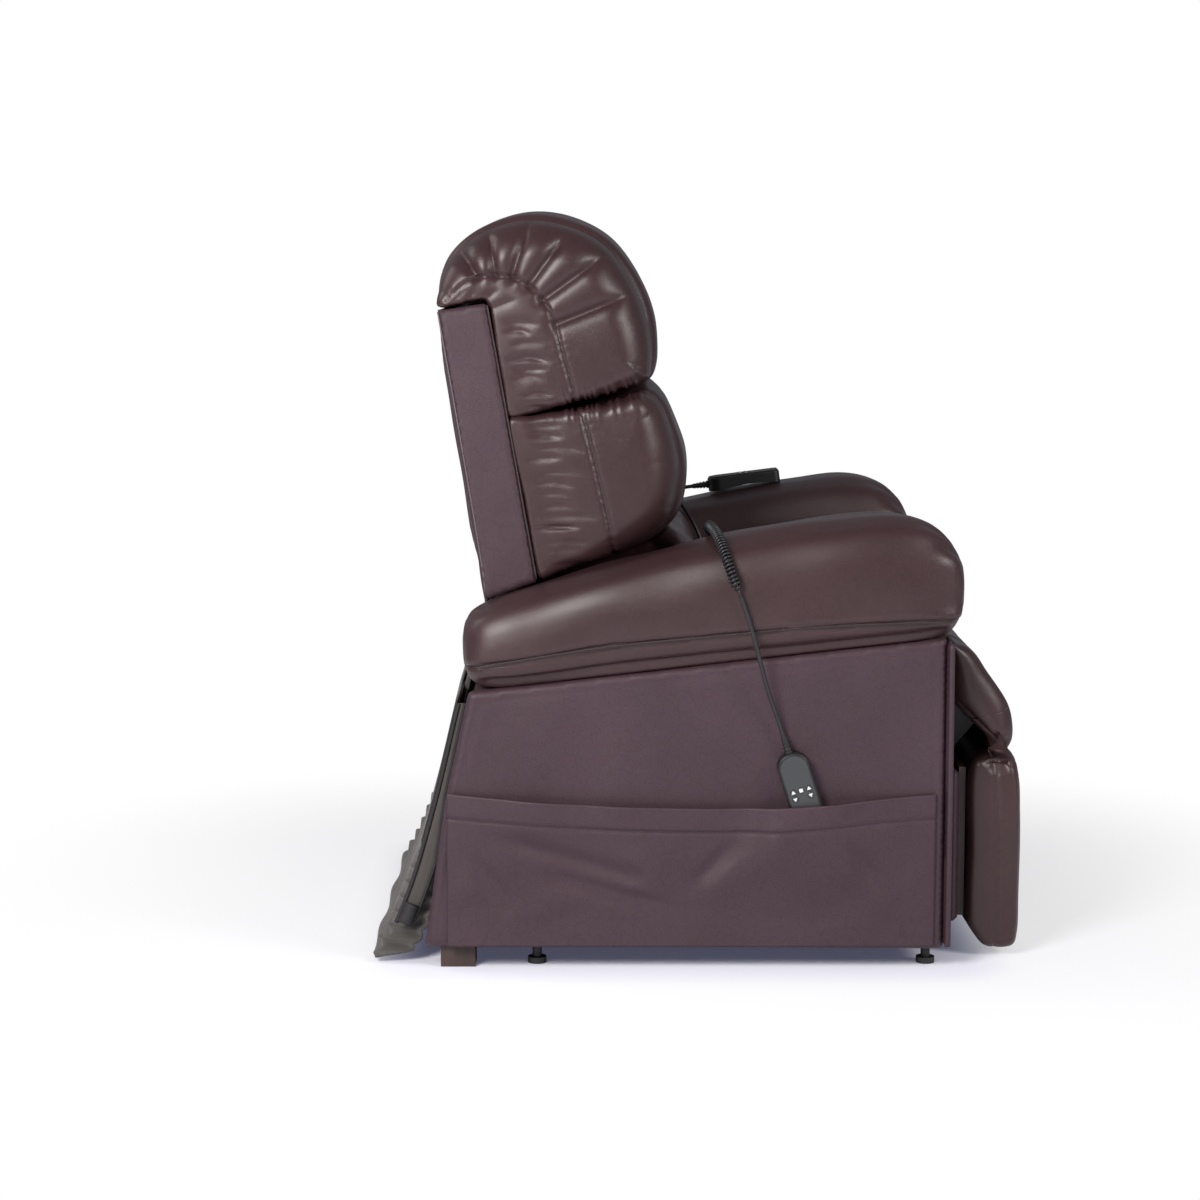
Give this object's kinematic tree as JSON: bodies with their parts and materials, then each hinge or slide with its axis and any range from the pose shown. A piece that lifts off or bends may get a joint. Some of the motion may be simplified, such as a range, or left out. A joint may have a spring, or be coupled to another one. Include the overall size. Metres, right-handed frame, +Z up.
{
  "type": "lift recliner chair",
  "caption": "Upholstered lift recliner chair with rolled arms, three-part back, folding legrest, side pocket, corded hand controls and a steel lift base.",
  "frame": {"origin": "on the floor under the middle of the chair's box", "axes": "+Z up, the sitter looks towards -Y, +X to the sitter's left"},
  "size_m": [0.9411, 0.9919, 1.1304],
  "materials": {
    "leather": "soft grained leather, satin",
    "panel_leather": "flat leather cloth, matt satin",
    "base_steel": "black powder coat",
    "rod_steel": "drawn steel",
    "wood": "raw hardwood and board",
    "case_plastic": "moulded, fine texture",
    "button_plastic": "smooth keys with white symbols",
    "glide_plastic": "hard plastic",
    "lining_fabric": "woven lining cloth",
    "cord_rubber": "smooth jacket"
  },
  "bodies": {
    "base": {"base_cross_tubes": "base_steel", "base_rails": "base_steel", "base_pivot_brackets": "base_steel", "base_glides": "glide_plastic", "power_supply": "case_plastic"},
    "lift_front_link": {"lift_front_links": "base_steel"},
    "lift_rear_link": {"lift_rear_links": "base_steel"},
    "lift_motor": {"lift_actuator": "case_plastic"},
    "lift_rod": {"lift_push_rod": "rod_steel"},
    "chair": {"mechanism_plates": "base_steel", "mechanism_cross_tubes": "base_steel", "seat_frame": "wood", "seat_springs": "rod_steel", "seat_cushion": "leather", "control_box": "case_plastic", "arm_frame_left": "wood", "arm_frame_right": "wood", "arm_pad_left": "leather", "arm_pad_right": "leather", "side_panel_left": "panel_leather", "side_panel_right": "panel_leather", "arm_facings": "panel_leather", "leg_blocks": "wood", "side_pocket": "panel_leather", "rear_skirt": "lining_fabric", "bridge_pad": "leather", "right_control_case": "case_plastic", "left_control_case": "case_plastic", "strain_reliefs": "case_plastic", "right_cord_coil": "cord_rubber", "right_cord_lead": "cord_rubber", "left_cord_lead": "cord_rubber"},
    "back_motor": {"back_actuator": "case_plastic"},
    "back_rod": {"back_push_rod": "rod_steel"},
    "backrest": {"back_hinge_arms": "base_steel", "back_frame": "wood", "back_side_left": "panel_leather", "back_side_right": "panel_leather", "rear_cover": "lining_fabric", "head_pillow": "leather", "mid_pillow": "leather", "lumbar_pillow": "leather"},
    "legrest_motor": {"legrest_actuator": "case_plastic"},
    "legrest_rod": {"legrest_push_rod": "rod_steel"},
    "legrest_link": {"legrest_links": "base_steel"},
    "legrest_brace": {"legrest_braces": "base_steel"},
    "ottoman": {"ottoman_brackets": "base_steel", "ottoman_board": "wood", "ottoman_pad": "leather", "lower_pad": "lining_fabric"},
    "right_button_left_up_key": {"right_button_left_up": "button_plastic"},
    "right_button_left_down_key": {"right_button_left_down": "button_plastic"},
    "right_button_right_up_key": {"right_button_right_up": "button_plastic"},
    "right_button_right_down_key": {"right_button_right_down": "button_plastic"},
    "right_button_middle_key": {"right_button_middle": "button_plastic"},
    "left_button_left_up_key": {"left_button_left_up": "button_plastic"},
    "left_button_left_down_key": {"left_button_left_down": "button_plastic"},
    "left_button_right_up_key": {"left_button_right_up": "button_plastic"},
    "left_button_right_down_key": {"left_button_right_down": "button_plastic"},
    "left_button_middle_key": {"left_button_middle": "button_plastic"}
  },
  "joints": [
    {"name": "lift", "type": "hinge", "parent": "base", "child": "lift_front_link", "pos_m": [0, -0.302, 0.08], "axis": [1, 0, 0], "range_deg": [0, 75]},
    {"name": "lift_rear", "type": "hinge", "parent": "base", "child": "lift_rear_link", "pos_m": [0, -0.252, 0.11], "axis": [1, 0, 0], "range_deg": [0, 68.6]},
    {"name": "chair_tilt", "type": "hinge", "parent": "lift_front_link", "child": "chair", "pos_m": [0, -0.002, 0.12], "axis": [1, 0, 0], "range_deg": [-50.01, 0]},
    {"name": "lift_motor_turn", "type": "hinge", "parent": "base", "child": "lift_motor", "pos_m": [0, 0.028, 0.09], "axis": [1, 0, 0], "range_deg": [0, 1.83]},
    {"name": "lift_motor_stroke", "type": "slide", "parent": "lift_motor", "child": "lift_rod", "axis": [0, -0.9904, 0.138], "range_m": [0, 0.0763]},
    {"name": "recline", "type": "hinge", "parent": "chair", "child": "backrest", "pos_m": [0, 0.208, 0.24], "axis": [-1, 0, 0], "range_deg": [0, 61], "deforming": ["rear_skirt"]},
    {"name": "back_motor_turn", "type": "hinge", "parent": "chair", "child": "back_motor", "pos_m": [0, -0.008, 0.24], "axis": [-1, 0, 0], "range_deg": [0, 4.45]},
    {"name": "back_motor_stroke", "type": "slide", "parent": "back_motor", "child": "back_rod", "axis": [0, 0.9611, 0.2764], "range_m": [0, 0.0595]},
    {"name": "legrest", "type": "hinge", "parent": "chair", "child": "legrest_link", "pos_m": [0, -0.287, 0.407], "axis": [-1, 0, 0], "range_deg": [0, 55], "deforming": ["bridge_pad"]},
    {"name": "legrest_pad", "type": "hinge", "parent": "legrest_link", "child": "ottoman", "pos_m": [0, -0.422, 0.37], "axis": [-1, 0, 0], "range_deg": [0, 35.01]},
    {"name": "legrest_brace_turn", "type": "hinge", "parent": "chair", "child": "legrest_brace", "pos_m": [0, -0.187, 0.36], "axis": [-1, 0, 0], "range_deg": [0, 22.01]},
    {"name": "legrest_motor_turn", "type": "hinge", "parent": "chair", "child": "legrest_motor", "pos_m": [0, -0.082, 0.33], "axis": [-1, 0, 0], "range_deg": [0, 7.4]},
    {"name": "legrest_motor_stroke", "type": "slide", "parent": "legrest_motor", "child": "legrest_rod", "axis": [0, -0.9957, 0.0921], "range_m": [0, 0.043]},
    {"name": "right_button_left_up_press", "type": "slide", "parent": "chair", "child": "right_button_left_up_key", "axis": [1, 0, 0], "range_m": [0, 0.0015], "stiffness_N_per_m": 300},
    {"name": "right_button_left_down_press", "type": "slide", "parent": "chair", "child": "right_button_left_down_key", "axis": [1, 0, 0], "range_m": [0, 0.0015], "stiffness_N_per_m": 300},
    {"name": "right_button_right_up_press", "type": "slide", "parent": "chair", "child": "right_button_right_up_key", "axis": [1, 0, 0], "range_m": [0, 0.0015], "stiffness_N_per_m": 300},
    {"name": "right_button_right_down_press", "type": "slide", "parent": "chair", "child": "right_button_right_down_key", "axis": [1, 0, 0], "range_m": [0, 0.0015], "stiffness_N_per_m": 300},
    {"name": "right_button_middle_press", "type": "slide", "parent": "chair", "child": "right_button_middle_key", "axis": [1, 0, 0], "range_m": [0, 0.0015], "stiffness_N_per_m": 300},
    {"name": "left_button_left_up_press", "type": "slide", "parent": "chair", "child": "left_button_left_up_key", "axis": [0, -0.1253, -0.9921], "range_m": [0, 0.0015], "stiffness_N_per_m": 300},
    {"name": "left_button_left_down_press", "type": "slide", "parent": "chair", "child": "left_button_left_down_key", "axis": [0, -0.1253, -0.9921], "range_m": [0, 0.0015], "stiffness_N_per_m": 300},
    {"name": "left_button_right_up_press", "type": "slide", "parent": "chair", "child": "left_button_right_up_key", "axis": [0, -0.1253, -0.9921], "range_m": [0, 0.0015], "stiffness_N_per_m": 300},
    {"name": "left_button_right_down_press", "type": "slide", "parent": "chair", "child": "left_button_right_down_key", "axis": [0, -0.1253, -0.9921], "range_m": [0, 0.0015], "stiffness_N_per_m": 300},
    {"name": "left_button_middle_press", "type": "slide", "parent": "chair", "child": "left_button_middle_key", "axis": [0, -0.1253, -0.9921], "range_m": [0, 0.0015], "stiffness_N_per_m": 300}
  ],
  "couplings": [
    {"joint": "lift_rear", "follows": "lift", "ratio": 0.91382},
    {"joint": "chair_tilt", "follows": "lift", "ratio": -0.66667},
    {"joint": "lift_motor_turn", "follows": "lift", "ratio": 0.02417},
    {"joint": "lift_motor_stroke", "follows": "lift", "m_per_rad": 0.058198},
    {"joint": "back_motor_turn", "follows": "recline", "ratio": 0.07289},
    {"joint": "back_motor_stroke", "follows": "recline", "m_per_rad": 0.055785},
    {"joint": "legrest_pad", "follows": "legrest", "ratio": 0.63636},
    {"joint": "legrest_brace_turn", "follows": "legrest", "ratio": 0.4},
    {"joint": "legrest_motor_turn", "follows": "legrest", "ratio": 0.13247},
    {"joint": "legrest_motor_stroke", "follows": "legrest", "m_per_rad": 0.044668}
  ]
}
